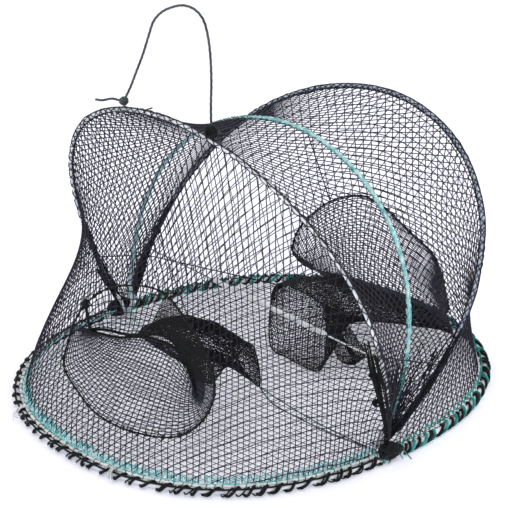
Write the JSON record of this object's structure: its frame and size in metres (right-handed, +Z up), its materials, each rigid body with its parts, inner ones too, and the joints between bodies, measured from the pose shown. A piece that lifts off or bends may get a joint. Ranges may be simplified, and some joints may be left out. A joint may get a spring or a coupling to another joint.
{
  "type": "folding fish trap",
  "caption": "Folding fish trap: an oval roped hoop with a net floor, hinged arches that spread the netting, net entry funnels, a bait bar and a rope handle.",
  "frame": {"origin": "middle of the part's outline in plan, on the ground under the hoop", "axes": "+Z up; X along the oval from the front funnel to the back funnel; +Y along the arches' hinge axis, to the far hinge"},
  "size_m": [0.6179, 0.586, 0.5355],
  "materials": {
    "coated_rod": "white plastic-coated steel rod",
    "black_rope": "matte twisted rope",
    "net_twine": "matte knotted twine",
    "teal_cord": "matte twisted cord",
    "grey_cord": "matte braided cord",
    "sleeve_net": "matte fine netting"
  },
  "bodies": {
    "base": {"base_hoop": "coated_rod", "front_hoop_rope": "black_rope", "back_hoop_rope": "black_rope", "front_selvedge": "teal_cord", "back_selvedge": "teal_cord", "floor_net": "net_twine", "hinge_lashing_near": "black_rope", "hinge_lashing_far": "black_rope", "hinge_cord_near": "black_rope", "hinge_cord_far": "black_rope", "front_net": "net_twine", "back_net": "net_twine", "front_mouth_cord": "black_rope", "back_mouth_cord": "black_rope", "front_funnel": "net_twine", "back_funnel": "net_twine", "front_sleeve": "sleeve_net", "back_sleeve": "sleeve_net", "front_sleeve_guy": "black_rope", "back_sleeve_guy": "black_rope", "bait_cord_far": "grey_cord", "spreader_cord": "black_rope", "front_sleeve_stay": "grey_cord"},
    "front_arch": {"front_arch": "coated_rod", "front_arch_lacing": "grey_cord", "bait_bar": "coated_rod", "bait_cord_near": "coated_rod", "draw_knot": "black_rope", "handle_knot": "black_rope", "handle_rope": "grey_cord"},
    "back_arch": {"back_arch": "coated_rod", "back_arch_lacing": "grey_cord", "ridge_net": "net_twine"},
    "middle_arch": {"middle_arch": "coated_rod", "middle_arch_lacing": "teal_cord", "crown_net": "net_twine"}
  },
  "joints": [
    {"name": "front_arch_fold", "type": "hinge", "parent": "base", "child": "front_arch", "pos_m": [-0.0135, 0, 0.01], "axis": [0, -1, 0], "range_deg": [0, 59], "deforming": ["front_net", "front_mouth_cord", "front_funnel", "front_sleeve", "bait_cord_far", "crown_net", "spreader_cord", "front_sleeve_stay"]},
    {"name": "back_arch_fold", "type": "hinge", "parent": "base", "child": "back_arch", "pos_m": [-0.0135, 0, 0.01], "axis": [0, 1, 0], "range_deg": [0, 41], "deforming": ["back_net", "back_mouth_cord", "back_funnel", "back_sleeve", "front_sleeve_guy", "back_sleeve_guy"]},
    {"name": "middle_arch_fold", "type": "hinge", "parent": "back_arch", "child": "middle_arch", "pos_m": [-0.0135, 0, 0.01], "axis": [0, 1, 0], "range_deg": [0, 18], "deforming": ["ridge_net"]}
  ],
  "couplings": [
    {"joint": "back_arch_fold", "follows": "front_arch_fold", "ratio": 0.6949},
    {"joint": "middle_arch_fold", "follows": "front_arch_fold", "ratio": 0.305}
  ]
}
